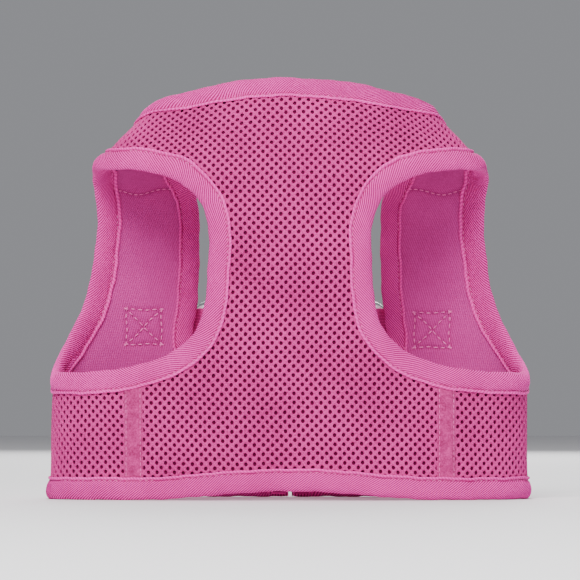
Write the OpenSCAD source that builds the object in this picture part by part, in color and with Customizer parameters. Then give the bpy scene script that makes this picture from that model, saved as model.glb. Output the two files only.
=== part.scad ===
// Step-in mesh vest harness for a small dog, shown standing on its hem.
// The fabric lies on one smooth torso surface: each point of it has an angle round the body
// (0 is the middle of the chest, 90 the side, 180 the middle of the back) and a height.

/* [Vest] */
// Width of the vest across the girth band
vest_w = 210; // [200:1:220]
// Height from the hem to the chest side of the neck
vest_h = 189; // [182:1:194]
// Depth of the standing vest from chest to back
vest_d = 72; // [66:1:80]
// Squareness of the body's cross-section, 2 is an ellipse
section_power = 2.4; // [2.2:0.1:2.8]
// Thickness of one layer of fabric
layer_t = 1.1; // [0.9:0.1:1.3]

/* [Leg holes] */
// Angle of the middle of a leg hole
hole_angle = 70; // [68:1:72]
// Half of a leg hole's angle
hole_half_angle = 49; // [45:1:50]
// Height of the middle of a leg hole
hole_z = 102.5; // [100:0.5:105]
// Half of a leg hole's height
hole_half_h = 45.5; // [42:0.5:47]

/* [Binding] */
// Width of the folded binding tape
tape_w = 10; // [8:0.5:11]
// Thickness of the binding tape
tape_t = 0.8; // [0.6:0.1:0.9]

/* [Webbing and hardware] */
// Width of the webbing
web_w = 20; // [18:1:20]
// Thickness of the webbing
web_t = 1.3; // [1.0:0.1:1.4]
// Height of the webbing's middle above the hem
web_z = 77; // [74:1:80]
// Radius of the D ring's wire and of the buckle's webbing bars
wire_r = 1.5; // [1.4:0.1:1.6]
// Outside width of the buckle
buckle_w = 28; // [27:1:30]
// Thickness of the buckle's socket
buckle_t = 9; // [8.6:0.2:10]
// How far the hem rises at the middle of the chest
hem_rise = 4; // [0:0.5:6]

/* [Hidden] */
$fn = 48;

// Half width and half depth at some heights, each as a share of the whole
width_keys = [[0, 1], [50, 1.005], [80, 0.97], [110, 0.93], [140, 0.87], [157, 0.72], [170, 0.6],
              [180, 0.49], [188, 0.38]];
depth_keys = [[0, 1], [50, 1], [80, 1], [110, 0.96], [140, 0.86], [157, 0.72], [170, 0.6],
              [180, 0.5], [188, 0.42]];
key_h = 184;        // the height that the keys are drawn for
seam_angle = 38.5;  // side seams, in front of the leg holes
root_angle = 87;    // the chest side's fabric ends here, at the fold
wing_angle = 99;    // and the wing's fabric starts here
gap_angle = 179.6;  // the wings meet edge to edge at the middle of the back
tuck = 3.5;         // how far the fabric's edge stays inside the folded tape
slot_h = 1.6;       // half of the gap in the folded tape
lie = 0.1;          // half of the gap between mesh and lining
tape_h = slot_h + tape_t;
hole_power = 3.6;   // squareness of the leg holes, 2 is an ellipse
corner_power = 2.1; // and of their lower corner on the wing side
rise_top = 48;      // the hem's rise has died out at this height

// The edge of the vest from the middle of the back, up the wing and round to the chest: [angle, height]
wing_edge_keys = [[gap_angle, 0], [gap_angle, 12], [gap_angle, 24], [179, 33], [173, 42], [164, 50],
                  [157.5, 59], [155.3, 70], [155.6, 80], [156, 92], [155.5, 115], [153.5, 135], [145, 150]];
neck_edge_keys = [[145, 150], [132, 160], [112, 167.5], [90, 172], [68, 176], [48, 179.5], [30, 182.5],
                  [14, 183.6], [0, 184]];
scale_z = vest_h / key_h;

// A smooth curve through the points of p, where s runs from 0 to len(p) - 1
function curve(p, s) =
    let (n = len(p), i = min(floor(s), n - 2), f = s - i,
         a = p[max(i - 1, 0)], b = p[i], c = p[i + 1], d = p[min(i + 2, n - 1)])
    0.5 * (2 * b + f * (c - a) + f * f * (2 * a - 5 * b + 4 * c - d) + f * f * f * (3 * b - 3 * c + d - a));

// The same curve for a list of [height, value] keys, read at a height
function key_at(p, z, i = 0) =
    i >= len(p) - 2 || z < p[i + 1][0] ?
        let (f = min(max((z - p[i][0]) / (p[i + 1][0] - p[i][0]), 0), 1)) curve(p, i + f)[1] :
        key_at(p, z, i + 1);

// A point of the torso surface, and the same with an offset h along its outward normal
function torso(q) =
    let (t = q[0], z = q[1], zk = z / scale_z,
         a = vest_w / 2 * key_at(width_keys, zk), b = vest_d / 2 * key_at(depth_keys, zk),
         k = pow(pow(abs(cos(t)), section_power) + pow(abs(sin(t)), section_power), -1 / section_power))
    [a * sin(t) * k, -b * cos(t) * k, z];
function along_t(q) = (torso(q + [0.5, 0]) - torso(q - [0.5, 0]));
function along_z(q) = (torso(q + [0, 0.5]) - torso(q - [0, 0.5]));
function unit(v) = v / norm(v);
function normal(q) = unit(cross(along_t(q), along_z(q)));
function lift(q, h) = torso(q) + h * normal(q);

// Moves q by distance d over the surface, square to the edge direction e
function inset(q, e, d) =
    let (st = along_t(q), sz = along_z(q), edge = unit(e[0] * st + e[1] * sz),
         side = cross(normal(q), edge), m11 = st * st, m12 = st * sz, m22 = sz * sz,
         r1 = side * st, r2 = side * sz, det = m11 * m22 - m12 * m12)
    q + d * [(m22 * r1 - m12 * r2) / det, (m11 * r2 - m12 * r1) / det];
function direction(path, i) = path[min(i + 1, len(path) - 1)] - path[max(i - 1, 0)];

// A closed sheet over a grid of [angle, height] points, from offset h0 to offset h1.
// rise lifts the end of its rows.
module sheet(grid, h0, h1, rise = 0) {
    rows = len(grid);
    cols = len(grid[0]);
    count = rows * cols;
    at = function (i, j) i * cols + j;
    up = [for (j = [0:cols - 1]) rise * pow(j / (cols - 1), 5)];
    points = [for (h = [h1, h0]) each [for (line = grid) for (j = [0:cols - 1]) lift(line[j], h + up[j])]];
    rim = concat([for (j = [0:cols - 2]) at(0, j)], [for (i = [0:rows - 2]) at(i, cols - 1)],
                 [for (j = [cols - 1:-1:1]) at(rows - 1, j)], [for (i = [rows - 1:-1:1]) at(i, 0)]);
    faces = concat(
        [for (i = [0:rows - 2]) for (j = [0:cols - 2]) each
            [[at(i, j), at(i + 1, j), at(i + 1, j + 1)], [at(i, j), at(i + 1, j + 1), at(i, j + 1)]]],
        [for (i = [0:rows - 2]) for (j = [0:cols - 2]) each
            [[at(i, j), at(i + 1, j + 1), at(i + 1, j)] + [count, count, count],
             [at(i, j), at(i, j + 1), at(i + 1, j + 1)] + [count, count, count]]],
        [for (k = [0:len(rim) - 1]) let (a = rim[k], b = rim[(k + 1) % len(rim)]) each
            [[a, b, b + count], [a, b + count, a + count]]]);
    polyhedron(points, faces);
}

// A closed bar swept through rings of points; closed joins its last ring to its first
module swept(rings, closed = false) {
    n = len(rings);
    m = len(rings[0]);
    spans = closed ? n : n - 1;
    faces = concat(
        [for (i = [0:spans - 1]) for (k = [0:m - 1])
            let (a = i * m + k, b = i * m + (k + 1) % m, c = ((i + 1) % n) * m + k,
                 d = ((i + 1) % n) * m + (k + 1) % m) each [[a, c, d], [a, d, b]]],
        closed ? [] : [[for (k = [0:m - 1]) k], [for (k = [m - 1:-1:0]) (n - 1) * m + k]]);
    polyhedron([for (ring = rings) each ring], faces);
}

// The folded tape's cross-section, [distance from the fold, offset]
tape_section = [[tape_w, tape_h], [1.6, tape_h], [0, 1.3], [0, -1.3], [1.6, -tape_h], [tape_w, -tape_h],
                [tape_w, -slot_h], [2, -slot_h], [2, slot_h], [tape_w, slot_h]];
module tape(path) {
    swept([for (i = [0:len(path) - 1]) let (e = direction(path, i))
        [for (s = tape_section) lift(inset(path[i], e, s[0]), s[1])]]);
}

// The leg hole's fold edge at angle p round it: 0 is the wing side, 90 the top and 180 the chest side
function hole_edge(p) =
    let (e = sin(p) < 0 && cos(p) > 0 ? corner_power : hole_power,
         k = pow(pow(abs(cos(p)), e) + pow(abs(sin(p)), e), -1 / e))
    [hole_angle + hole_half_angle * cos(p) * k, hole_z + hole_half_h * sin(p) * k];

// The hole in the fabric itself, a little larger, read at a height or at an angle
cut_angle = hole_half_angle + 2.4;
cut_h = hole_half_h + tuck;
function share(f, e) = pow(max(0, 1 - pow(min(abs(f), 1), e)), 1 / e);
function cut_t(z, side) =
    hole_angle + side * cut_angle * share((z - hole_z) / cut_h, z < hole_z && side > 0 ? corner_power : hole_power);
function cut_z(t) =
    hole_z - cut_h * share((t - hole_angle) / cut_angle, t > hole_angle ? corner_power : hole_power);

// The fabric's own edge beside the back opening and below the neck, read at a height
edge_keys = [for (q = concat(wing_edge_keys, [for (i = [1:8]) neck_edge_keys[i]])) [q[1], q[0]]];
function edge_t(z) = key_at(edge_keys, z / scale_z + tuck) - 1.6;

// The hem is raised a little across the chest
function hem_z(t) = abs(t) < seam_angle ? hem_rise * pow(cos(t * 90 / seam_angle), 2) : 0;
function raised(q) = q + [0, hem_z(q[0]) * max(0, 1 - q[1] / rise_top)];

function steps(a, b, n) = [for (i = [0:n]) a + (b - a) * i / n];
function row(z, a, b, n) = [for (t = steps(a, b, n)) [t, z]];
hole_rows = [for (p = [-90:12:90]) hole_z + cut_h * sin(p)];
function front_t(z) =
    z < hole_z ? min(seam_angle - 0.3, cut_t(z, -1)) :
    z <= hole_z + cut_h ? cut_t(z, -1) : min(root_angle, edge_t(z));
front_rows = concat(steps(tuck, rise_top, 6), hole_rows, steps(hole_z + cut_h + 1, vest_h - tuck - 0.4, 14));
front_grid = [for (z = front_rows) [for (q = row(z, -front_t(z), front_t(z), 28)) raised(q)]];
side_grid = [for (f = steps(0, 1, 6))
    [for (t = steps(seam_angle, root_angle, 12)) [t, tuck + f * (cut_z(t) - tuck)]]];
function wing_t(z) = abs(z - hole_z) < cut_h ? max(wing_angle, cut_t(z, 1)) : wing_angle;
wing_rows = concat(steps(tuck, 50, 8), hole_rows, [153, 158, 163, 166.5] * scale_z);
wing_grid = [for (z = wing_rows) row(z, wing_t(z), edge_t(z), 10)];

mesh_pink = [0.86, 0.36, 0.6];
lining_pink = [0.78, 0.32, 0.55];
tape_pink = [0.97, 0.45, 0.72];

module mesh_layer(grid) {
    color(mesh_pink) sheet(grid, lie, lie + layer_t);
}
module lining_layer(grid) {
    color(lining_pink) sheet(grid, -lie - layer_t, -lie);
}
module binding(path) {
    color(tape_pink) tape(path);
}
module leg_binding(from, to) {
    binding([for (p = steps(from, to, ceil(abs(from - to) / 7))) hole_edge(p)]);
}
module neck_binding() {
    half = [for (s = steps(3.14, 8, 20)) curve(neck_edge_keys, s)];
    right = [for (q = half) [q[0], q[1] * scale_z]];
    left = [for (i = [len(right) - 2:-1:0]) [-right[i][0], right[i][1]]];
    binding(concat(right, left));
}
module back_binding() {
    up = [for (s = steps(0.95, len(wing_edge_keys) - 1, 34)) curve(wing_edge_keys, s)];
    over = [for (s = steps(0.2, 2.4, 8)) curve(neck_edge_keys, s)];
    binding([for (q = concat(up, over)) [q[0], q[1] * scale_z]]);
}
module hem_binding(from, to) {
    binding([for (t = steps(from, to, ceil(abs(to - from) / 5))) [t, hem_z(t)]]);
}

// Webbing sewn flat on a wing, which rises over the binding at its inner end
sewn_from = 122;
sewn_to = 154;
module sewn_webbing() {
    grid = [for (z = steps(web_z - web_w / 2, web_z + web_w / 2, 3)) row(z, sewn_from, sewn_to, 14)];
    color(tape_pink) sheet(grid, tape_h + 0.3, tape_h + 0.3 + web_t, 1.8);
}

/* Strap, D rings and buckle. They lie along X, with x = 0 at the middle of the buckle. */
strap_y = vest_d / 2 + 1.9;   // the middle of the strap's thickness
flex_x = 40.5;        // the strap bends here, beside the sewn webbing
ring_x = 35;          // the D ring's straight side
bar_x = 18;           // the buckle's own webbing bars
play = 0.12;          // free play round a wire in its loop of webbing
pocket_r = wire_r + play;
module upright(x, r, h) {
    translate([x, 0, 0]) cylinder(r = r, h = h, center = true);
}
// A strip of webbing doubled back on itself round two bars
module strap() {
    difference() {
        union() {
            translate([(flex_x - 2.2 + bar_x) / 2, 0, 0]) cube([flex_x - 2.2 - bar_x, 2 * web_t, web_w], center = true);
            for (x = [ring_x, bar_x]) upright(x, pocket_r + web_t, web_w);
        }
        for (x = [ring_x, bar_x]) upright(x, pocket_r, web_w + 2);
    }
}
ring_half = web_w / 2 + 2;    // half of the D ring's straight side
ring_leg = 3;         // from the straight side to the start of the bow
module d_ring() {
    upright(0, wire_r, 2 * ring_half);
    for (s = [-1, 1]) {
        translate([0, 0, s * ring_half]) sphere(r = wire_r);
        translate([0, 0, s * ring_half]) rotate([-90, 0, 0]) cylinder(r = wire_r, h = ring_leg);
    }
    translate([0, ring_leg, 0]) rotate([0, -90, 0])
        rotate_extrude(angle = 180) translate([ring_half, 0]) circle(r = wire_r);
}
// Outline of a buckle half seen from behind, with round corners of radius r
module rounded(x0, x1, h, r) {
    for (x = [x0 + r, x1 - r]) for (s = [-1, 1]) translate([x, s * (h / 2 - r)]) circle(r = r);
    translate([x0, -h / 2 + r]) square([x1 - x0, h - 2 * r]);
    translate([x0 + r, -h / 2]) square([x1 - x0 - 2 * r, h]);
}
module slab(t) {
    rotate([90, 0, 0]) linear_extrude(height = t, center = true) children();
}
mouth_x = 7.5;        // the socket's open end
end_x = 20;           // the outer end of each buckle half
cavity_w = buckle_w - 4.4;
cavity_t = buckle_t - 3.4;
cavity_x = -11;       // the bottom of the socket's cavity
window = [12, 10];    // the side windows for the finger pads
window_x = -3.5;
corner_r = 2.5;
slot_w = web_w + 1.2; // the webbing's slot, open at the half's outer end
slot_l = 2 * (pocket_r + web_t) + 0.6;
module webbing_slot() {
    translate([bar_x - slot_l / 2 - 0.3, -buckle_t, -slot_w / 2]) cube([slot_l + 8, 2 * buckle_t, slot_w]);
}
module buckle_socket() {
    difference() {
        slab(buckle_t) rounded(-end_x, mouth_x, buckle_w, corner_r);
        translate([cavity_x, -cavity_t / 2, -cavity_w / 2]) cube([mouth_x - cavity_x + 1, cavity_t, cavity_w]);
        for (s = [-1, 1]) translate([window_x, 0, s * buckle_w / 2])
            cube([window[0], cavity_t + 0.01, window[1]], center = true);
        left() webbing_slot();
    }
    upright(-bar_x, wire_r, slot_w + 2);
}
prong_x = 10.5;       // the prongs' roots
prong_z = 8.6;
knuckle_r = 1.7;
prong_w = 2.2;
tongue_w = 5.6;
module buckle_plug() {
    difference() {
        union() {
            slab(buckle_t - 1) rounded(mouth_x + 0.4, end_x, buckle_w, corner_r);
            slab(cavity_t - 0.6) rounded(cavity_x + 2, mouth_x + 2, tongue_w, 1.5);
        }
        webbing_slot();
        for (s = [-1, 1]) {
            translate([prong_x, 0, s * prong_z]) rotate([90, 0, 0])
                cylinder(r = knuckle_r + 0.08, h = 2 * buckle_t, center = true);
            translate([prong_x - 4, 0, s * (prong_z - 0.6)]) cube([8, 2 * buckle_t, 2 * prong_w], center = true);
        }
    }
    upright(bar_x, wire_r, slot_w + 2);
}
// A springy side arm of the plug, with the finger pad that shows in the socket's window
pad_x = -8;
pad_l = 8;
pad_r = 1.2;
module prong() {
    inner = prong_z - prong_w / 2;
    outer = cavity_w / 2 - 0.15;
    slab(cavity_t - 0.6) {
        translate([prong_x, prong_z]) circle(r = knuckle_r);
        translate([pad_x, inner]) square([prong_x - pad_x, prong_w]);
        hull() {
            translate([pad_x, inner]) square([pad_l, pad_r]);
            for (x = [pad_x + pad_r, pad_x + pad_l - pad_r]) translate([x, outer - pad_r]) circle(r = pad_r);
        }
    }
}
// A three-bar slider round the doubled strap
slider_x = 25.6;
slider_l = 8;
slider_bar = 1.1;
slider_rail = 1;
module strap_slider() {
    off = web_t + 0.2 + slider_bar;
    bar_l = web_w + 3 * slider_rail;
    for (s = [-1, 1]) translate([slider_x, 0, s * bar_l / 2]) {
        cube([slider_l, 2 * off, 2 * slider_rail], center = true);
        for (y = [-off, off]) translate([0, y, 0]) rotate([0, 90, 0])
            cylinder(r = slider_rail, h = slider_l, center = true);
    }
    translate([0, off, 0]) upright(slider_x, slider_bar, bar_l);
    for (s = [-1, 1]) translate([0, -off, 0]) upright(slider_x + s * (slider_l / 2 - slider_bar), slider_bar, bar_l);
}

ring_rest = 50;       // how far the D rings lie over at rest
centre_y = 5.32;      // puts the origin under the middle of the whole
module place() {
    translate([0, -centre_y, 0]) children();
}
module on_strap() {
    place() translate([0, strap_y, web_z]) children();
}
module left() {
    mirror([1, 0, 0]) children();
}

place() mesh_layer(front_grid);  // front_mesh
place() lining_layer(front_grid);  // front_lining
place() left() mesh_layer(side_grid);  // left_side_mesh
place() mesh_layer(side_grid);  // right_side_mesh
place() left() lining_layer(side_grid);  // left_side_lining
place() lining_layer(side_grid);  // right_side_lining
place() left() mesh_layer(wing_grid);  // left_wing_mesh
place() mesh_layer(wing_grid);  // right_wing_mesh
place() left() lining_layer(wing_grid);  // left_wing_lining
place() lining_layer(wing_grid);  // right_wing_lining
place() neck_binding();
place() hem_binding(-root_angle, root_angle);
place() left() leg_binding(289, 72);  // left_leg_binding_front
place() leg_binding(289, 72);  // right_leg_binding_front
place() left() leg_binding(58, -58);  // left_leg_binding_back
place() leg_binding(58, -58);  // right_leg_binding_back
place() left() back_binding();  // left_back_binding
place() back_binding();  // right_back_binding
place() left() hem_binding(wing_angle, gap_angle);  // left_hem_binding
place() hem_binding(wing_angle, gap_angle);  // right_hem_binding
place() left() sewn_webbing();  // left_sewn_webbing
place() sewn_webbing();  // right_sewn_webbing
on_strap() left() color(tape_pink) strap();  // left_strap
on_strap() color(tape_pink) strap();  // right_strap
on_strap() left() translate([ring_x, 0, 0]) rotate([0, 0, -ring_rest]) color("silver") d_ring();  // left_d_ring
on_strap() translate([ring_x, 0, 0]) rotate([0, 0, -ring_rest]) color("silver") d_ring();  // right_d_ring
on_strap() color(tape_pink) strap_slider();
on_strap() color(tape_pink) buckle_socket();
on_strap() color(tape_pink) buckle_plug();
on_strap() color(tape_pink) prong();  // upper_prong
on_strap() mirror([0, 0, 1]) color(tape_pink) prong();  // lower_prong
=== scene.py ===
import math

import bmesh
import bpy
import numpy as np
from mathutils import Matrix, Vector


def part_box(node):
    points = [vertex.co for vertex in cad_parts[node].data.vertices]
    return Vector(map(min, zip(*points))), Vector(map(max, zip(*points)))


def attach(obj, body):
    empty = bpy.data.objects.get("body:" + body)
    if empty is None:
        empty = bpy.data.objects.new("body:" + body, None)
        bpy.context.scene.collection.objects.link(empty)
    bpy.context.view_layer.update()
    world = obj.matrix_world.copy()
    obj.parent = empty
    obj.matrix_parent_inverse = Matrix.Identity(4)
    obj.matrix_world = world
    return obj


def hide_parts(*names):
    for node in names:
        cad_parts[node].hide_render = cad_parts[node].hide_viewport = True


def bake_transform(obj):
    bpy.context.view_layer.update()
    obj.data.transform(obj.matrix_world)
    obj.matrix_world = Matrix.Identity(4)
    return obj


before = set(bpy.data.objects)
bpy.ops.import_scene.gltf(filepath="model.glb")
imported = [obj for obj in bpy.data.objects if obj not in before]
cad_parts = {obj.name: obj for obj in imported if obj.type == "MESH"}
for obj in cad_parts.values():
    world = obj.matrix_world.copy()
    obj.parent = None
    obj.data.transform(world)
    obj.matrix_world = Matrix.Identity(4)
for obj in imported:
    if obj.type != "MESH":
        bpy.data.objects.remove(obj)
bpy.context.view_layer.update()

mm = 0.001
rng = np.random.default_rng(7)
sides = (("left", -1), ("right", 1))

# the torso surface
frontHem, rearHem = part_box("hem_binding"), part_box("left_hem_binding")
hemFold = 2.4                                   # the folded tape stands this far off the torso, mm
centreY = -(frontHem[0].y + rearHem[1].y) / 2 / mm
torso = dict(
    halfWidth=105.0,
    halfDepth=(rearHem[1].y - frontHem[0].y) / 2 / mm - hemFold,
    power=2.4,                                  # 2 would be an ellipse
    stretchUp=189 / 184,                        # the keys are drawn for 184 mm of height
    widthKeys=[(0, 1), (50, 1.005), (80, .97), (110, .93), (140, .87), (157, .72), (170, .6),
               (180, .49), (188, .38)],
    depthKeys=[(0, 1), (50, 1), (80, 1), (110, .96), (140, .86), (157, .72), (170, .6),
               (180, .5), (188, .42)],
    slack=.36,                                  # how much the cloth wanders off the surface, mm
    slackWaves=[(1, .071, .043, .6), (.7, .123, -.061, 2), (.5, .19, .09, 4.1)],
    # the hem stands out at the sides
    leftFlare=3.0, rightFlare=1.2, flareHeight=11, flareAngle=80, flareSpread=28,
)


def spline(a, b, c, d, f):
    return .5 * (2 * b + f * (c - a) + f * f * (2 * a - 5 * b + 4 * c - d)
                 + f ** 3 * (3 * b - 3 * c + d - a))


def smoothKeys(keys, at):
    keys = np.array(keys, float)
    h, v = keys[:, 0], keys[:, 1]
    i = np.clip(np.searchsorted(h, at, side="right") - 1, 0, len(h) - 2)
    f = np.clip((at - h[i]) / (h[i + 1] - h[i]), 0, 1)
    return spline(v[np.maximum(i - 1, 0)], v[i], v[i + 1], v[np.minimum(i + 2, len(v) - 1)], f)


def torsoPoint(t, z):
    r, p = np.radians(t), torso["power"]
    a = torso["halfWidth"] * smoothKeys(torso["widthKeys"], z / torso["stretchUp"])
    b = torso["halfDepth"] * smoothKeys(torso["depthKeys"], z / torso["stretchUp"])
    k = (np.abs(np.cos(r)) ** p + np.abs(np.sin(r)) ** p) ** (-1 / p)
    return np.stack([a * np.sin(r) * k, -b * np.cos(r) * k, z + 0 * t], -1)


def torsoFrame(t, z):
    along = torsoPoint(t + .5, z) - torsoPoint(t - .5, z)          # per degree
    up = torsoPoint(t, z + .5) - torsoPoint(t, z - .5)             # per mm of height
    out = np.cross(along, up)
    return along, up, out / np.linalg.norm(out, axis=-1, keepdims=True)


def slack(t, z):
    aside = (np.abs(t) - torso["flareAngle"]) / torso["flareSpread"]
    flare = np.where(t < 0, torso["leftFlare"], torso["rightFlare"]) * np.exp(
        -np.abs(z) / torso["flareHeight"] - aside ** 2)
    waves = sum(share * np.sin(t * perDegree + z * perMm + phase)
                for share, perDegree, perMm, phase in torso["slackWaves"])
    return flare + torso["slack"] * waves


def clothPoint(t, z, h):
    t, z, h = np.broadcast_arrays(*(np.asarray(a, float) for a in (t, z, h)))
    return torsoPoint(t, z) + (h + slack(t, z))[..., None] * torsoFrame(t, z)[2]


def inFrame(points):
    return (np.asarray(points, float) - (0, centreY, 0)) * mm


def runOf(points, axis):
    # arc length along one axis of a grid of points
    steps = np.linalg.norm(np.diff(points, axis=axis), axis=-1)
    start = np.zeros_like(np.take(steps, [0], axis=axis))
    return np.concatenate([start, np.cumsum(steps, axis=axis)], axis=axis)


# tables of arc lengths, so that a knitted pattern keeps its size wherever it lies
tableLow = 6                                    # they start this far below the hem, mm
beyond = 200                                    # stands for a place off the torso
reachAcross, reachUp = 262, 232                 # half the flat cloth's width, and its height, mm
angleLine, heightLine = np.arange(0, 181.0), np.arange(-tableLow, 194.0)
grid = torsoPoint(angleLine[None, :], heightLine[:, None])
aroundAt, upAt = runOf(grid, 1), runOf(grid, 0) - tableLow
aroundLine, upLine = np.arange(0, float(reachAcross)), np.arange(-tableLow, 240.0)
angleTable = np.array([np.interp(aroundLine, row, angleLine, right=beyond) for row in aroundAt])
heightTable = np.array([np.interp(upLine, col, heightLine, right=beyond) for col in upAt.T])


def lookUp(table, row, col):
    r, c = np.clip(row, 0, table.shape[0] - 1.001), np.clip(col, 0, table.shape[1] - 1.001)
    i, j = r.astype(int), c.astype(int)
    f, g = r - i, c - j
    return ((table[i, j] * (1 - g) + table[i, j + 1] * g) * (1 - f)
            + (table[i + 1, j] * (1 - g) + table[i + 1, j + 1] * g) * f)


def clothAt(u, v, passes=5):
    z = np.array(v, float)
    for _ in range(passes):
        t = lookUp(angleTable, z + tableLow, np.abs(u))
        z = lookUp(heightTable, np.minimum(t, 180), v + tableLow)
    return np.sign(u) * t, z


# the vest's edges
pattern = dict(
    seamAngle=38.5, shoulderSplit=60, gapAngle=179.6,
    holeAngle=70, holeHalfAngle=49, holeHeight=102.5, holeHalfHeight=45.5,
    holePower=3.6, cornerPower=2.1,             # squareness of the leg holes and of one corner
    hemRise=4,
    wingEdge=[(179.6, 0), (179.6, 12), (179.6, 24), (179, 33), (173, 42), (164, 50), (157.5, 59),
              (155.3, 70), (155.6, 80), (156, 92), (155.5, 115), (153.5, 135), (145, 150)],
    neckEdge=[(145, 150), (132, 160), (112, 167.5), (90, 172), (68, 176), (48, 179.5),
              (30, 182.5), (14, 183.6), (0, 184)],
)


def curveThrough(keys, steps=40):
    keys = np.array(keys, float) * (1, torso["stretchUp"])
    last = len(keys) - 1
    s = np.linspace(0, last, last * steps + 1)
    i = np.minimum(s.astype(int), last - 1)
    return spline(keys[np.maximum(i - 1, 0)], keys[i], keys[i + 1],
                  keys[np.minimum(i + 2, last)], (s - i)[:, None])


def hemHeight(t):
    turn = np.clip(np.abs(t), 0, pattern["seamAngle"]) * 90 / pattern["seamAngle"]
    return pattern["hemRise"] * np.cos(np.radians(turn)) ** 2


def holeEdge(side, steps=720):
    p = np.radians(np.linspace(-180, 180, steps + 1))
    c, s = np.cos(p), np.sin(p)
    power = np.where((s < 0) & (c > 0), pattern["cornerPower"], pattern["holePower"])
    k = (np.abs(c) ** power + np.abs(s) ** power) ** (-1 / power)
    return np.stack([side * (pattern["holeAngle"] + pattern["holeHalfAngle"] * c * k),
                     pattern["holeHeight"] + pattern["holeHalfHeight"] * s * k], -1)


def hemEdge(first, last, steps=400):
    t = np.linspace(first, last, steps)
    return np.stack([t, hemHeight(t)], -1)


wingLine = curveThrough(pattern["wingEdge"])
neckLine = curveThrough(pattern["neckEdge"])
outline = np.concatenate([hemEdge(0, pattern["gapAngle"]), wingLine[1:], neckLine[1:]])


def insideVest(t, z):
    t = np.abs(t)
    inside = np.zeros(t.shape, bool)
    a, b = outline, np.roll(outline, -1, axis=0)
    for (ta, za), (tb, zb) in zip(a, b):
        if za != zb:
            inside ^= ((za > z) != (zb > z)) & (t < (tb - ta) * (z - za) / (zb - za) + ta)
    power = np.where((z < pattern["holeHeight"]) & (t > pattern["holeAngle"]),
                     pattern["cornerPower"], pattern["holePower"])
    hole = (np.abs((t - pattern["holeAngle"]) / pattern["holeHalfAngle"]) ** power
            + np.abs((z - pattern["holeHeight"]) / pattern["holeHalfHeight"]) ** power)
    return inside & (hole > 1)


edgePoints = np.concatenate([torsoPoint(*line.T) for line in (
    hemEdge(0, pattern["gapAngle"]), wingLine, neckLine, holeEdge(1))])


def nearest(points, targets, chunk):
    parts = np.array_split(points, max(1, len(points) // chunk))
    return np.concatenate([np.linalg.norm(part[:, None] - targets[None], axis=-1).min(axis=1)
                           for part in parts])


def edgeDistance(t, z):
    return nearest(torsoPoint(np.abs(t), z), edgePoints, 400)


def zoneOf(t, z):
    limit = np.where(z < pattern["holeHeight"], pattern["seamAngle"], pattern["shoulderSplit"])
    return np.where(t < -limit, "left", np.where(t > limit, "right", "chest"))


# meshes and bodies; two depths given with the wings' bodies
bendFrom, bendTo = (-12 - centreY) * mm, (15 - centreY) * mm


def shadeSmooth(mesh):
    mesh.polygons.foreach_set("use_smooth", np.ones(len(mesh.polygons), bool))


def paintValue(mesh, name, values):
    layer = mesh.attributes.new(name, "FLOAT", "POINT")
    layer.data.foreach_set("value", np.asarray(values, np.float32))


def cornerVertices(mesh):
    corner = np.zeros(len(mesh.loops), np.int32)
    mesh.loops.foreach_get("vertex_index", corner)
    return corner


def paintUv(mesh, uv):
    layer = mesh.uv_layers.get("UVMap") or mesh.uv_layers.new(name="UVMap")
    layer.data.foreach_set("uv", np.asarray(uv, np.float32)[cornerVertices(mesh)].ravel())


def gridQuads(shape):
    i = np.arange(shape[0] * shape[1]).reshape(shape)
    return np.stack([i[:-1, :-1], i[:-1, 1:], i[1:, 1:], i[1:, :-1]], -1).reshape(-1, 4)


def newMesh(name, points, faces, uv=None, layers=None):
    mesh = bpy.data.meshes.new(name)
    faces = np.asarray(faces, np.int32)
    mesh.vertices.add(len(points))
    mesh.vertices.foreach_set("co", np.asarray(points, np.float32).ravel())
    mesh.loops.add(faces.size)
    mesh.loops.foreach_set("vertex_index", faces.ravel())
    mesh.polygons.add(len(faces))
    starts = np.arange(0, faces.size, faces.shape[1], dtype=np.int32)
    mesh.polygons.foreach_set("loop_start", starts)
    mesh.update(calc_edges=True)
    mesh.validate()
    shadeSmooth(mesh)
    if uv is not None:
        paintUv(mesh, uv)
    for key, values in (layers or {}).items():
        paintValue(mesh, key, values)
    return mesh


def addPiece(name, mesh, body, material=None, nodes=()):
    piece = bpy.data.objects.new(name, mesh)
    bpy.context.scene.collection.objects.link(piece)
    if material:
        mesh.materials.clear()
        mesh.materials.append(material)
    if nodes:
        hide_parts(*nodes)
    if isinstance(body, tuple):
        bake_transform(piece)
    else:
        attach(piece, body)
    return piece


def wingBend(side):
    return ("vest", side + "_wing", (0, bendFrom, .1), (0, bendTo, .1))


bodyOf = {"chest": "vest", "left": wingBend("left"), "right": wingBend("right")}
pieceSide = {"chest": "chest", "left": "left_flank", "right": "right_flank"}


def plainMesh(obj, name):
    depsgraph = bpy.context.evaluated_depsgraph_get()
    mesh = bpy.data.meshes.new_from_object(
        obj.evaluated_get(depsgraph), preserve_all_data_layers=True, depsgraph=depsgraph)
    mesh.name = name
    bpy.data.objects.remove(obj)
    return mesh


# shaders
class Wire:
    def __init__(self, shader, socket):
        self.shader, self.socket = shader, socket

    def calc(self, operation, *others):
        return self.shader.maths(operation, *others)

    def __add__(self, other): return self.calc("ADD", self, other)
    def __sub__(self, other): return self.calc("SUBTRACT", self, other)
    def __rsub__(self, other): return self.calc("SUBTRACT", other, self)
    def __mul__(self, other): return self.calc("MULTIPLY", self, other)
    def __truediv__(self, other): return self.calc("DIVIDE", self, other)
    def sin(self): return self.calc("SINE", self)
    def abs(self): return self.calc("ABSOLUTE", self)


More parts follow.
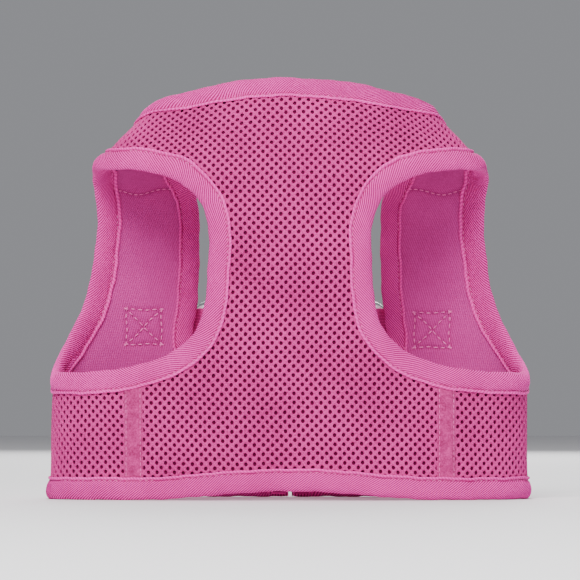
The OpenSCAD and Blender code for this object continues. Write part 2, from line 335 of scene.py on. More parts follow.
class Shader:
    def __init__(self, name, roughness, **fixed):
        self.material = bpy.data.materials.new(name)
        self.material.use_nodes = True
        self.tree = self.material.node_tree
        self.surface = self.tree.nodes["Principled BSDF"]
        self.surface.inputs["Roughness"].default_value = roughness
        for socket, value in fixed.items():
            self.surface.inputs[socket.replace("_", " ")].default_value = value

    def node(self, kind, settings=None, out=0, **sockets):
        node = self.tree.nodes.new(kind)
        for key, value in (settings or {}).items():
            setattr(node, key, value)
        for key, value in sockets.items():
            key = key.replace("_", " ")
            numbered = key.startswith("in") and key[2:].isdigit()
            self.put(node.inputs[int(key[2:]) if numbered else key], value)
        return Wire(self, node.outputs[out])

    def put(self, socket, value):
        if isinstance(value, Wire):
            self.tree.links.new(value.socket, socket)
        else:
            socket.default_value = value

    def maths(self, operation, *values):
        sockets = {f"in{i}": value for i, value in enumerate(values)}
        return self.node("ShaderNodeMath", {"operation": operation}, **sockets)

    def uv(self):
        split = self.tree.nodes.new("ShaderNodeSeparateXYZ")
        source = self.node("ShaderNodeUVMap", {"uv_map": "UVMap"})
        self.tree.links.new(source.socket, split.inputs[0])
        return Wire(self, split.outputs[0]), Wire(self, split.outputs[1])

    def attribute(self, name):
        return self.node("ShaderNodeAttribute", {"attribute_name": name}, out="Fac")

    def noise(self, scale, detail=2.0):
        place = self.node("ShaderNodeTexCoord", out="Object")
        return self.node("ShaderNodeTexNoise", out="Fac", Vector=place, Scale=scale, Detail=detail)

    def mix(self, share, a, b):
        return self.node("ShaderNodeMix", {"data_type": "RGBA"}, out=2, in0=share, in6=a, in7=b)

    def ramp(self, value, low, high):
        return self.node("ShaderNodeMapRange", {"clamp": True}, Value=value, From_Min=low,
                         From_Max=high)

    def colour(self, value):
        self.put(self.surface.inputs["Base Color"], value)

    def rough(self, value):
        self.put(self.surface.inputs["Roughness"], value)

    def bump(self, height, distance, strength=1.0):
        self.put(self.surface.inputs["Normal"],
                 self.node("ShaderNodeBump", Height=height, Distance=distance, Strength=strength))


def rgb(r, g, b):
    return (r, g, b, 1.0)


palette = dict(
    sheen=rgb(1, .55, .8),
    # the hole and spacer colours are painted shade: the dark seen down the mesh's holes, between
    # the knit's layers
    meshLight=rgb(.78, .050, .34), meshDark=rgb(.26, .006, .085), holeShade=rgb(.10, .001, .035),
    spacerShade=rgb(.17, .008, .05),
    tapeLight=rgb(.98, .060, .49), tapeDark=rgb(.32, .006, .11),
    lining=rgb(.66, .058, .36), liningDark=rgb(.34, .014, .15),
    thread=rgb(.93, .15, .52), plastic=rgb(.70, .030, .29), plasticHaze=rgb(.62, .035, .26),
    webbing=rgb(.84, .040, .37), webbingDark=rgb(.44, .014, .17),
    metal=rgb(.82, .82, .84), metalHaze=rgb(.62, .62, .65), floor=rgb(.80, .79, .80),
)


def clothShader(name, roughness, sheen, sheenRoughness, specular):
    return Shader(name, roughness, Sheen_Weight=sheen, Sheen_Roughness=sheenRoughness,
                  Sheen_Tint=palette["sheen"], Specular_IOR_Level=specular)


def airMeshMaterial():
    s = clothShader("airMeshKnit", .85, .04, .45, .15)
    u, v = s.uv()
    # the yarn's crests between the holes are painted a little lighter, a painted highlight
    yarn = ((u * 5.2 + v * 2.6).sin() * (u * 5.2 - v * 2.6).sin()).abs()
    fibre = s.noise(1900, 3)
    patch = s.noise(28, 2)
    wallShade = s.attribute("wallDepth")
    light = s.ramp(fibre * .95 + patch * .4 + yarn * .2, .45, .98)
    face = s.mix(light, palette["meshDark"], palette["meshLight"])
    # the hole walls are painted darker towards their bottom: painted shade down the holes
    s.colour(s.mix(s.ramp(wallShade, .22, .95), face, palette["holeShade"]))
    s.bump(yarn * .35 + fibre * .65, .0003, 1.0)
    return s.material


def lapMaterial():
    s = clothShader("lappedSeam", .92, .3, .6, .15)
    fibre = s.noise(1500, 4)
    clump = s.noise(420, 2)
    light = s.ramp(fibre * .8 + clump * .6, .5, 1.15)
    s.colour(s.mix(light, palette["meshDark"], palette["meshLight"]))
    s.bump(fibre * .7 + clump * .5, .0005, 1.0)
    return s.material


def spacerShadeMaterial():
    # painted shade: a dark sheet under the mesh, seen through its holes
    s = Shader("spacerYarns", .95, Specular_IOR_Level=.05)
    fibre = s.noise(1900, 3)
    s.colour(s.mix(s.ramp(fibre, .35, .75), palette["holeShade"], palette["spacerShade"]))
    s.bump(fibre, .0003)
    return s.material


def liningMaterial():
    s = clothShader("brushedJersey", .9, .12, .5, .2)
    u, v = s.uv()
    wale = (u * (math.tau / 1.05)).sin() * .5 + .5
    course = (v * (math.tau / .75)).sin() * .5 + .5
    fibre = s.noise(1700, 3)
    patch = s.noise(40, 3)
    pucker = s.attribute("sewnPucker")
    # the lining is painted darker where the stitches draw it in: painted shade in the puckers
    light = s.ramp(wale * .3 + course * .1 + fibre * .6 + patch * .35 - pucker * .28, .34, 1.0)
    s.colour(s.mix(light, palette["liningDark"], palette["lining"]))
    s.bump(wale * .5 + course * .2 + fibre * .6, .00022, .9)
    return s.material


# mm from the folded edge; the ribs' pitch is along the tape
tapeFace = dict(seamShadeAt=8.65, cordFrom=8.75, cordTo=9.0, ribPitch=1.32, ribSlope=1.3)


def tapeMaterial():
    s = clothShader("twillTape", .78, .04, .4, .15)
    u, v = s.uv()                                          # along the tape and across it, mm
    turns = (u + v * tapeFace["ribSlope"]) / tapeFace["ribPitch"]
    fibre = s.noise(1900, 3)
    patch = s.noise(55, 3)
    rib = s.ramp((turns * math.tau + fibre * .9).sin() * .5 + .5, .1, .8)
    cord = (u * (math.tau / 1.5) + v.abs() * 3.4).sin() * .5 + .5
    inCord = s.ramp(v.abs(), tapeFace["cordFrom"], tapeFace["cordTo"])
    relief = rib * (1 - inCord) + (cord * .5 + .5) * inCord
    # painted shade along the stitched groove
    seam = s.ramp((v.abs() - tapeFace["seamShadeAt"]).abs(), .05, .5)
    # the twill ribs and the cord are painted from their relief: painted shade in the rib grooves,
    # painted highlight on the cord's crests
    light = s.ramp(relief * .74 + fibre * .34 + patch * .36, .36, 1.12) * (seam * .8 + .2)
    s.colour(s.mix(light, palette["tapeDark"], palette["tapeLight"]))
    s.bump(relief * .9 + fibre * .3, .0002, 1.0)
    return s.material


def webbingMaterial():
    s = clothShader("flatWebbing", .65, .04, .4, .25)
    u, v = s.uv()
    weave = s.attribute("weaveRelief")
    fibre = s.noise(2200, 3)
    # the colour follows the weave's relief: painted shade in the weave's hollows
    light = s.ramp(weave * .6 + fibre * .5, .25, .95)
    s.colour(s.mix(light, palette["webbingDark"], palette["webbing"]))
    s.bump(fibre * .6 + (u * 11.0 + v * 5.0).sin() * .2, .00012, .8)
    return s.material


def threadMaterial():
    s = Shader("sewingThread", .5, Sheen_Weight=.2, Specular_IOR_Level=.45)
    s.colour(s.mix(s.ramp(s.noise(900, 2), .2, .55), palette["lining"], palette["thread"]))
    s.bump(s.noise(3200, 2), .0001)
    return s.material


def plasticMaterial():
    s = Shader("mouldedAcetal", .38, Specular_IOR_Level=.5)
    grain = s.noise(3500, 2)
    haze = s.noise(90, 3)
    s.colour(s.mix(haze, palette["plasticHaze"], palette["plastic"]))
    s.rough(haze * .16 + .32)
    s.bump(grain, .00004, .6)
    return s.material


def metalMaterial():
    s = Shader("nickelWire", .16, Metallic=1.0)
    haze = s.noise(160, 4)
    s.colour(s.mix(haze, palette["metalHaze"], palette["metal"]))
    s.rough(haze * .22 + .08)
    s.bump(s.noise(900, 3), .00002, .5)
    return s.material


airMesh, lapCloth, spacerShade = airMeshMaterial(), lapMaterial(), spacerShadeMaterial()
lining, tape, webbing = liningMaterial(), tapeMaterial(), webbingMaterial()
thread, plastic, metal = threadMaterial(), plasticMaterial(), metalMaterial()
print("materials made")


# geometry node trees
def newTree(name, sockets):
    tree = bpy.data.node_groups.new(name, "GeometryNodeTree")
    for label, kind in {"Geometry": "Geometry", **sockets}.items():
        tree.interface.new_socket(name=label, in_out="INPUT", socket_type="NodeSocket" + kind)
    tree.interface.new_socket(name="Geometry", in_out="OUTPUT",
                              socket_type="NodeSocketGeometry")
    start, end = tree.nodes.new("NodeGroupInput"), tree.nodes.new("NodeGroupOutput")

    def add(kind, links=None, **settings):
        node = tree.nodes.new(kind)
        for key, value in settings.items():
            setattr(node, key, value)
        for key, value in (links or {}).items():
            if isinstance(value, bpy.types.NodeSocket):
                tree.links.new(value, node.inputs[key])
            else:
                node.inputs[key].default_value = value
        return node

    return tree, start.outputs, end.inputs, add


def runTree(tree, mesh, name, values):
    holder = bpy.data.objects.new(name, mesh)
    bpy.context.scene.collection.objects.link(holder)
    modifier = holder.modifiers.new("make", "NODES")
    modifier.node_group = tree
    for item in tree.interface.items_tree:
        if item.in_out == "INPUT" and item.name in values:
            modifier[item.identifier] = values[item.name]
    return plainMesh(holder, name)


def makePerforationTree():
    tree, given, end, add = newTree("perforations", {
        "Cell": "Object", "Cell Width": "Float", "Cell Height": "Float",
        "Cloth Thickness": "Float", "Weld Distance": "Float", "Material": "Material"})
    points = add("GeometryNodeMeshToPoints", {"Mesh": given["Geometry"]})
    cell = add("GeometryNodeObjectInfo", {"Object": given["Cell"]})
    size = add("ShaderNodeCombineXYZ", {
        "X": given["Cell Width"], "Y": given["Cell Height"], "Z": given["Cloth Thickness"]})
    copies = add("GeometryNodeInstanceOnPoints", {
        "Points": points.outputs[0], "Instance": cell.outputs["Geometry"],
        "Scale": size.outputs[0]})
    real = add("GeometryNodeRealizeInstances", {"Geometry": copies.outputs[0]})
    weld = add("GeometryNodeMergeByDistance", {
        "Geometry": real.outputs[0], "Distance": given["Weld Distance"]})
    done = add("GeometryNodeSetMaterial", {
        "Geometry": weld.outputs[0], "Material": given["Material"]})
    tree.links.new(done.outputs[0], end["Geometry"])
    return tree


def makeStitchTree():
    tree, given, end, add = newTree("stitches", {
        "Stitch Pitch": "Float", "Stitch Length": "Float", "Thread Thickness": "Float",
        "Material": "Material"})
    curve = add("GeometryNodeMeshToCurve", {"Mesh": given["Geometry"]})
    even = add("GeometryNodeResampleCurve", {
        "Curve": curve.outputs[0], "Length": given["Stitch Pitch"]}, mode="LENGTH")
    tangent = add("GeometryNodeInputTangent")
    turn = add("FunctionNodeAlignRotationToVector", {"Vector": tangent.outputs[0]}, axis="Z")
    bead = add("GeometryNodeMeshUVSphere", {"Segments": 8, "Rings": 6, "Radius": .5})
    size = add("ShaderNodeCombineXYZ", {
        "X": given["Thread Thickness"], "Y": given["Thread Thickness"],
        "Z": given["Stitch Length"]})
    copies = add("GeometryNodeInstanceOnPoints", {
        "Points": even.outputs[0], "Instance": bead.outputs[0],
        "Rotation": turn.outputs[0], "Scale": size.outputs[0]})
    real = add("GeometryNodeRealizeInstances", {"Geometry": copies.outputs[0]})
    smooth = add("GeometryNodeSetShadeSmooth", {"Geometry": real.outputs[0]})
    done = add("GeometryNodeSetMaterial", {
        "Geometry": smooth.outputs[0], "Material": given["Material"]})
    tree.links.new(done.outputs[0], end["Geometry"])
    return tree


perforationTree, stitchTree = makePerforationTree(), makeStitchTree()

# the perforated mesh
knit = dict(across=3.95, up=2.05, holeWidth=1.5, holeHeight=1.76, top=1.42, bottom=.25,
            corners=12, coverWidth=5.4, weld=.02)


def makeCell():
    n = knit["corners"]
    p = np.arange(n) * math.tau / n
    c, s = np.cos(p), np.sin(p)
    k = 1 / (np.abs(c) + np.abs(s))
    rim = np.stack([.5 * c * k, .5 * s * k], -1)           # a diamond, which leaves no gap
    hole = np.stack([knit["holeWidth"] / knit["across"] / 2 * c,
                     knit["holeHeight"] / knit["up"] / 4 * s], -1)
    rings = [(rim, .96), (rim * .42 + hole * .62, 1.0), (hole * 1.04, .74), (hole, 0.0)]
    points = np.concatenate([np.column_stack([xy, np.full(n, h)]) for xy, h in rings])
    faces = [(r * n + i, r * n + (i + 1) % n, (r + 1) * n + (i + 1) % n, (r + 1) * n + i)
             for r in range(len(rings) - 1) for i in range(n)]
    cell = bpy.data.objects.new("meshCell", newMesh("meshCell", points, faces))
    bpy.context.scene.collection.objects.link(cell)
    return cell


def meshCentres():
    rows = np.arange(1, int(reachUp / knit["up"]))
    most = int(reachAcross / knit["across"])
    row, col = (a.ravel() for a in np.meshgrid(rows, np.arange(-most, most + 1), indexing="ij"))
    u, v = (col + .5 * (row % 2)) * knit["across"], row * knit["up"]
    t, z = clothAt(u, v)
    keep = insideVest(t, z)
    u, v, t, z = u[keep], v[keep], t[keep], z[keep]
    keep = edgeDistance(t, z) > knit["coverWidth"]
    return u[keep], v[keep], t[keep], z[keep]


def knitDrift(u, v):
    return (u + .35 * np.sin(v * .071 + 1) + .16 * np.sin(v * .31 + u * .11),
            v + .35 * np.sin(u * .057) + .16 * np.sin(u * .27 + v * .13 + 2))


cell = makeCell()
cu, cv, ct, cz = meshCentres()
zones = zoneOf(ct, cz)
meshNodes = {"chest": ["front_mesh"], "left": ["left_side_mesh", "left_wing_mesh"],
             "right": ["right_side_mesh", "right_wing_mesh"]}
for zone, nodes in meshNodes.items():
    pick = zones == zone
    seeds = bpy.data.meshes.new("seeds")
    flat = np.stack([cu[pick] * mm, cv[pick] * mm, 0 * cu[pick]], -1)
    seeds.from_pydata(flat.tolist(), [], [])
    name = pieceSide[zone] + "_air_mesh"
    mesh = runTree(perforationTree, seeds, name, {
        "Cell": cell, "Cell Width": knit["across"] * mm, "Cell Height": 2 * knit["up"] * mm,
        "Cloth Thickness": 1.0, "Weld Distance": knit["weld"] * mm, "Material": airMesh})
    co = np.zeros(len(mesh.vertices) * 3)
    mesh.vertices.foreach_get("co", co)
    co = co.reshape(-1, 3)
    u, v = knitDrift(co[:, 0] / mm, co[:, 1] / mm)
    t, z = clothAt(u, v)
    h = knit["bottom"] + (knit["top"] - knit["bottom"]) * co[:, 2]
    mesh.vertices.foreach_set("co", inFrame(clothPoint(t, z, h)).ravel())
    paintUv(mesh, np.stack([u, v], -1))
    # depth down each hole's wall, which sets the painted shade there
    paintValue(mesh, "wallDepth", 1 - co[:, 2])
    shadeSmooth(mesh)
    mesh.update()
    piece = addPiece(name, mesh, bodyOf[zone], nodes=nodes)
bpy.data.objects.remove(cell)

# spacer yarns, a dark sheet painted as the shade seen through the mesh's holes, and lining: two
# plain layers of cloth
layers = dict(spacerStep=1.9, spacerAt=.3, liningStep=.95, liningAt=-.75, thickness=1.1,
              coverWidth=4.2, pucker=.5, puckerWidth=.95)
sewing = dict(pitch=2.6, length=1.8, thick=.25, top=1.66, inside=-1.18, boxSize=16,
              boxMiddle={-1: (67.5, 78.2), 1: (65.5, 76.8)})


def wingAngle(x, z, sign):
    t = np.linspace(100, 179, 800)
    return sign * np.interp(-x, -torsoPoint(t, np.full(len(t), z))[:, 0], t)


def boxLines(sign, h):
    half, (xMid, zMid) = sewing["boxSize"] / 2, sewing["boxMiddle"][sign]
    corners = [(-1, -1), (1, -1), (1, 1), (-1, 1), (-1, -1), (1, 1)]
    f = np.linspace(0, 1, 12)
    lines = []
    for a, b in list(zip(corners, corners[1:])) + [((-1, 1), (1, -1))]:
        x = xMid + half * (a[0] + (b[0] - a[0]) * f) + .25 * np.sin(f * 9 + a[0])
        z = zMid + half * (a[1] + (b[1] - a[1]) * f) + .25 * np.sin(f * 7 + b[1])
        t = np.array([wingAngle(*place, sign) for place in zip(x, z)])
        lines.append(clothPoint(t, z, h))
    return lines


def shoulderSeam(sign, h):
    t = np.linspace(121, 147, 60)
    z = 140 + 1.1 * np.sin((t - 121) * .35) + .06 * (t - 134)
    return clothPoint(sign * t, z, h)


def clothGrid(zone, step, cover):
    u, v = np.meshgrid(np.arange(-reachAcross, reachAcross + .1, step),
                       np.arange(0, reachUp, step))
    t, z = clothAt(u.ravel(), v.ravel())
    mt, mz = clothAt((u[:-1, :-1] + step / 2).ravel(), (v[:-1, :-1] + step / 2).ravel())
    keep = insideVest(mt, mz)
    keep[keep] = edgeDistance(mt[keep], mz[keep]) > cover
    keep &= zoneOf(mt, mz) == zone
    used, quads = np.unique(gridQuads(u.shape)[keep], return_inverse=True)
    return u.ravel()[used], v.ravel()[used], t[used], z[used], quads.reshape(-1, 4)


def puckerAt(zone, t, z):
    # how far the stitches draw the lining in, from 0 to 1
    if zone == "chest":
        return np.zeros(len(t))
    sign = -1 if zone == "left" else 1
    rows = np.concatenate(boxLines(sign, 0) + [shoulderSeam(sign, 0)])
    near = nearest(clothPoint(t, z, 0), rows, 4000)
    return np.exp(-(near / layers["puckerWidth"]) ** 2)


liningNodes = {"chest": ["front_lining"], "left": ["left_side_lining", "left_wing_lining"],
               "right": ["right_side_lining", "right_wing_lining"]}
for zone, nodes in liningNodes.items():
    u, v, t, z, quads = clothGrid(zone, layers["spacerStep"], layers["coverWidth"])
    # the spacer sheet is painted shade, seen through the mesh's holes
    mesh = newMesh(pieceSide[zone] + "_spacer", inFrame(clothPoint(t, z, layers["spacerAt"])),
                   quads, np.stack([u, v], -1))
    piece = addPiece(mesh.name, mesh, bodyOf[zone], spacerShade)
    u, v, t, z, quads = clothGrid(zone, layers["liningStep"], layers["coverWidth"])
    sunk = puckerAt(zone, t, z)
    drawn = clothPoint(t, z, layers["liningAt"] + layers["pucker"] * sunk)
    # sunk also paints shade into the lining where the stitches draw it in
    mesh = newMesh(pieceSide[zone] + "_lining", inFrame(drawn), quads, np.stack([u, v], -1),
                   {"sewnPucker": sunk})
    piece = addPiece(mesh.name, mesh, bodyOf[zone], lining, nodes)
    solid = piece.modifiers.new("thickness", "SOLIDIFY")
    solid.thickness, solid.offset = layers["thickness"] * mm, 0

# folded twill tape
binding = dict(
    ringsPerRib=4, ribHeight=.11, straightEnds=25, grooveAt=8.7,
    # size and pitch of each kind of unevenness
    plumpSlow=(.05, 31), plumpFast=(.035, 8), pucker=(.1, 3.9), puckerPatch=(1, 26),
    widthWave=(.012, 47), edgeWave=(.14, 19),
    # distance from the fold and offset, from the inner lip over the crown to the fold
    profile=[(9.85, 1.45), (10.15, 1.75), (10.1, 2.15), (9.8, 2.4), (9.4, 2.42), (9.02, 2.1),
             (8.72, 1.62), (8.4, 1.66), (8.0, 1.95), (7.4, 2.28), (6.7, 2.52), (5.9, 2.68),
             (5.1, 2.76), (4.2, 2.76), (3.4, 2.66), (2.7, 2.48), (2.0, 2.18), (1.4, 1.84),
             (.9, 1.42), (.5, .98), (.2, .5), (.1, 0)],
    innerFace=[(9.5, -1.4), (2.2, -1.0), (2.2, 1.0), (9.5, 1.4)],
)


def resample(line, step, closed=False):
    run = runOf(torsoPoint(*line.T), 0)
    total = run[-1]
    at = np.linspace(0, total, 4 * max(2, round(total / (4 * step))) + 1)
    if closed:
        at = at[:-1]
    return np.stack([np.interp(at, run, line[:, k]) for k in (0, 1)], -1), at, total


def insetSteps(q, closed, turnIn, reach=8):
    if closed:
        e = np.roll(q, -reach, axis=0) - np.roll(q, reach, axis=0)
    else:
        wide = np.pad(q, ((reach, reach), (0, 0)), mode="edge")
        e = wide[2 * reach:] - wide[:-2 * reach]
    along, up, out = torsoFrame(*q.T)
    edge = e[:, :1] * along + e[:, 1:] * up
    edge /= np.linalg.norm(edge, axis=1, keepdims=True)
    side = np.cross(out, edge) * turnIn
    m11, m12, m22 = (along * along).sum(1), (along * up).sum(1), (up * up).sum(1)
    r1, r2 = (side * along).sum(1), (side * up).sum(1)
    det = m11 * m22 - m12 * m12
    return np.stack([(m22 * r1 - m12 * r2) / det, (m11 * r2 - m12 * r1) / det], -1)


def wander(at, seed, size, pitch, total):
    slow, fast = max(1, round(total / pitch)), max(1, round(total / (pitch * .43)))
    turn = at * math.tau / total
    return size * (np.sin(turn * slow + seed) + .6 * np.sin(turn * fast + 2.1 * seed))


def makeTape(line, turnIn, lean, seed, pieces, closed=False):
    q, at, total = resample(line, tapeFace["ribPitch"] / binding["ringsPerRib"], closed)
    inward = insetSteps(q, closed, turnIn)
    half = np.array(binding["profile"])
    section = np.concatenate([half, (half * (1, -1))[::-1][1:], binding["innerFace"]])
    m, n = len(section), len(q)
    s, h = section[:, 0][None], section[:, 1][None]
    v = lean * s * np.where(h < -.05, -1, 1)
    # each ring of points follows one rib, so it lies aslant, but for the tape's open ends
    aslant = np.ones(n)
    if not closed:
        aslant = np.clip(np.minimum(at, total - at) / binding["straightEnds"], 0, 1)
    aslant = tapeFace["ribSlope"] * aslant ** 2 * (3 - 2 * aslant)
    place = at[:, None] - v * aslant[:, None]
    wrap = total if closed else None
    edgeT, edgeZ, inT, inZ = (np.interp(place, at, values, period=wrap)
                              for values in (*q.T, *inward.T))
    turns = np.arange(n)[:, None] / binding["ringsPerRib"]
    plump = (1 + wander(place, seed, *binding["plumpSlow"], total)
             + wander(place, seed + 2, *binding["plumpFast"], total))
    patches = np.clip(wander(place, seed + 6, *binding["puckerPatch"], total), 0, 1)
    pucker = wander(place, seed + 3, *binding["pucker"], total) * patches
    crown = np.where(np.abs(h) > 1.5, np.sign(h) * (1.5 + (np.abs(h) - 1.5) * plump), h)
    rib = np.sin(turns * math.tau) * np.clip((8.5 - s) / .5, 0, 1) * np.clip(np.abs(h) / .8, 0, 1)
    crown = crown + np.sign(h) * (pucker * np.exp(-((s - 5) / 3) ** 2) + binding["ribHeight"] * rib)
    crown[:, -4:] = section[-4:, 1]
    reach = (s * (1 + wander(place, seed + 4, *binding["widthWave"], total))
             + wander(place, seed + 5, *binding["edgeWave"], total))
    points = inFrame(clothPoint(edgeT + reach * inT, edgeZ + reach * inZ, crown))
    u = turns * tapeFace["ribPitch"] - v * tapeFace["ribSlope"]
    uv = np.stack(np.broadcast_arrays(u, v), -1)
    for name, body, nodes, test in pieces:
        rows = np.where(test(q[:, 0]))[0] if test else np.arange(n)
        rows = rows if closed else np.arange(rows[0], min(rows[-1] + 2, n))
        i = np.arange(len(rows) * m).reshape(len(rows), m)
        here, following = (i, np.roll(i, -1, axis=0)) if closed else (i[:-1], i[1:])
        quads = np.stack([here, following, np.roll(following, -1, axis=1),
                          np.roll(here, -1, axis=1)], -1).reshape(-1, 4)[:, ::-turnIn]
        mesh = newMesh(name, points[rows].reshape(-1, 3), quads, uv[rows].reshape(-1, 2))
        if closed:
            closeUv(mesh, m, n / binding["ringsPerRib"] * tapeFace["ribPitch"])
        else:
            capEnds(mesh, m)
        addPiece(name, mesh, body, tape, nodes)
    print("tape", [piece[0] for piece in pieces], len(q), "rings")


def closeUv(mesh, m, length):
    # the last ring of faces joins the first points again, so its texture runs on instead of back
    corner = cornerVertices(mesh)
    layer = mesh.uv_layers["UVMap"]
    uv = np.zeros(len(corner) * 2, np.float32)
    layer.data.foreach_get("uv", uv)
    last = np.arange(len(corner)) >= len(corner) - 4 * m
    uv[::2][last & (corner < m)] += length
    layer.data.foreach_set("uv", uv)


def capEnds(mesh, m):
    made = bmesh.new()
    made.from_mesh(mesh)
    made.verts.ensure_lookup_table()
    count = len(made.verts)
    for first in (0, count - m):
        made.faces.new([made.verts[first + j] for j in range(m)])
    bmesh.ops.recalc_face_normals(made, faces=made.faces)
    made.to_mesh(mesh)
    made.free()


def mirrored(line):
    return line * (-1, 1)


def threeTapes(left, middle, right, limit):
    return [(left + "_tape", wingBend("left"), [left], lambda t: t < -limit),
            (middle + "_tape", "vest", [middle], lambda t: np.abs(t) <= limit),
            (right + "_tape", wingBend("right"), [right], lambda t: t > limit)]


shoulder, seam = pattern["shoulderSplit"], pattern["seamAngle"]
upperRun = np.concatenate([wingLine, neckLine[1:]])
upperRun = upperRun[upperRun[:, 1] > 1.2]                  # it ends above the hem's tape
wholeUpper = np.concatenate([mirrored(upperRun), upperRun[::-1][1:]])
wholeHem = hemEdge(-pattern["gapAngle"], pattern["gapAngle"], 900)
makeTape(wholeUpper, -1, 1, 1.0, threeTapes(
    "left_back_binding", "neck_binding", "right_back_binding", shoulder - 5))
makeTape(wholeHem, 1, -1, 2.0, threeTapes(
    "left_hem_binding", "hem_binding", "right_hem_binding", seam))
for side, sign in sides:
    nodes = [side + "_leg_binding_front", side + "_leg_binding_back"]
    makeTape(holeEdge(sign), -sign, 1, 7.0 + sign,
             [(side + "_leg_binding_tape", wingBend(side), nodes, None)], closed=True)

# sewing


def offsetLine(line, turnIn, distance, closed=False):
    q = resample(line, 1.0, closed)[0]
    q = q + distance * insetSteps(q, closed, turnIn, 3)
    return np.concatenate([q, q[:1]]) if closed else q


def sewLines(name, lines, body, pitch=None, length=None, thick=None):
    points, edges = [], []
    for line in lines:
        first = len(points)
        points += inFrame(line).tolist()
        edges += [(k, k + 1) for k in range(first, len(points) - 1)]
    mesh = bpy.data.meshes.new(name)
    mesh.from_pydata(points, edges, [])
    mesh = runTree(stitchTree, mesh, name, {
        "Stitch Pitch": (pitch or sewing["pitch"]) * mm,
        "Stitch Length": (length or sewing["length"]) * mm,
        "Thread Thickness": (thick or sewing["thick"]) * mm, "Material": thread})
    return addPiece(name, mesh, body)


def clothLine(q, h):
    return clothPoint(q[:, 0], q[:, 1], h)


tapeRows = [offsetLine(wholeUpper, -1, binding["grooveAt"]),
            offsetLine(wholeHem, 1, binding["grooveAt"])]
sewn = {"chest": [], "left": [], "right": []}
for row, limit in zip(tapeRows, (shoulder, seam)):
    for h in (sewing["top"], -sewing["top"]):
        line = clothLine(row, h)
        sewn["left"].append(line[row[:, 0] < -limit])
        sewn["right"].append(line[row[:, 0] > limit])
        sewn["chest"].append(line[np.abs(row[:, 0]) <= limit])
for side, sign in sides:
    ring = offsetLine(holeEdge(sign), -sign, binding["grooveAt"], closed=True)
    sewn[side] += [clothLine(ring, sewing["top"]), clothLine(ring, -sewing["top"])]
for zone, lines in sewn.items():
    sewLines(pieceSide[zone] + "_tape_stitches", lines, bodyOf[zone])

# side seams: a plain strip where the mesh is lapped and sewn flat
lap = dict(halfWidth=4.4, low=7.5, high=54.5, thick=.42, offset=1.35, edgeOffset=.9,
           fuzz=.035, stitchAt=.74, stitchWidth=.09, stitchSink=.3, stitchOffset=.16)


def makeLap(side, sign):
    across = np.linspace(-1, 1, 23)
    up = np.arange(lap["low"], lap["high"], .5)
    middle = aroundAt[int(lap["low"]) + tableLow, int(seam)] + (seam % 1) * 1.8
    s, v = np.meshgrid(across, up)
    edge = 1 + .035 * np.sin(v * 1.3) + .03 * np.sin(v * .51 + sign)
    u = sign * (middle + s * lap["halfWidth"] * edge)
    t, z = clothAt(u.ravel(), v.ravel())
    flat = 1 - np.abs(s.ravel()) ** 8
    fuzz = rng.normal(0, lap["fuzz"], s.size)
    sewnIn = np.exp(-((np.abs(s.ravel()) - lap["stitchAt"]) / lap["stitchWidth"]) ** 2)
    h = lap["offset"] + lap["thick"] * flat + fuzz * flat - lap["stitchSink"] * sewnIn * flat
    h[np.abs(s.ravel()) > .99] = lap["edgeOffset"]
    mesh = newMesh(side + "_side_seam", inFrame(clothPoint(t, z, h)),
                   gridQuads(s.shape)[:, ::sign], np.stack([u.ravel(), v.ravel()], -1))
    addPiece(mesh.name, mesh, wingBend(side), lapCloth)
    rows = []
    for k in (-lap["stitchAt"], lap["stitchAt"]):
        v = np.arange(lap["low"] + 1.5, lap["high"] - 3, 1.0)
        t, z = clothAt(np.full(len(v), sign * (middle + k * lap["halfWidth"])), v)
        rows.append(clothPoint(t, z, lap["offset"] + lap["stitchOffset"]))
    sewLines(side + "_side_seam_stitches", rows, wingBend(side), pitch=2.3, length=1.7,
             thick=.22)


for side, sign in sides:
    makeLap(side, sign)

# box stitches and the shoulder seams, seen on the lining through the leg holes
for side, sign in sides:
    sewLines(side + "_box_stitches_inside", boxLines(sign, sewing["inside"]), side + "_wing",
             pitch=2.95, length=2.25, thick=.62)
    sewLines(side + "_shoulder_seam_stitches", [shoulderSeam(sign, sewing["inside"])],
             side + "_wing", pitch=2.6, length=2.0, thick=.5)
print("sewing made")

# webbing straps
strap = dict(width=20, thick=1.3, middle=77, y=37.9, ring=35, bar=18, pocket=2.3,
             sewnFrom=121.5, sewnTo=150, lift=3.35, flex=40.5, bendFrom=43.5, bendTo=37.5,
             ribAcross=1.45, ribAlong=1.15, relief=.13, rows=53, step=.42,
             boxLift=4.05, tackAside=2.6, tackLift=1.81, tackReach=9)


def strapPath(sign):
    t = np.linspace(strap["sewnFrom"], strap["sewnTo"], 60)
    heights = strap["middle"] + np.linspace(-.5, .5, strap["rows"]) * strap["width"]
    onWing = np.stack([clothPoint(sign * t, z, strap["lift"]) for z in heights], 1)
    half, bar, pocket = strap["thick"] / 2 + .02, strap["bar"], strap["pocket"]

    def spread(x):
        # half the gap between the loop's two layers, which part around the ring
        return half + (pocket - half) * np.exp(-((x - strap["ring"]) / 2.3) ** 2)

    there = np.linspace(strap["flex"] + 1.5, bar + .6, 60)
    turn = np.radians(np.linspace(80, 280, 24))
    back = np.linspace(bar + .6, strap["flex"] + 1.0, 60)
    x = sign * np.concatenate([there, bar + pocket * np.cos(turn), back])
    y = strap["y"] + np.concatenate([spread(there), pocket * np.sin(turn), -spread(back)])
    loop = np.stack([np.stack([x, y, np.full(len(x), z)], -1) for z in heights], 1)
    return np.concatenate([onWing, loop])


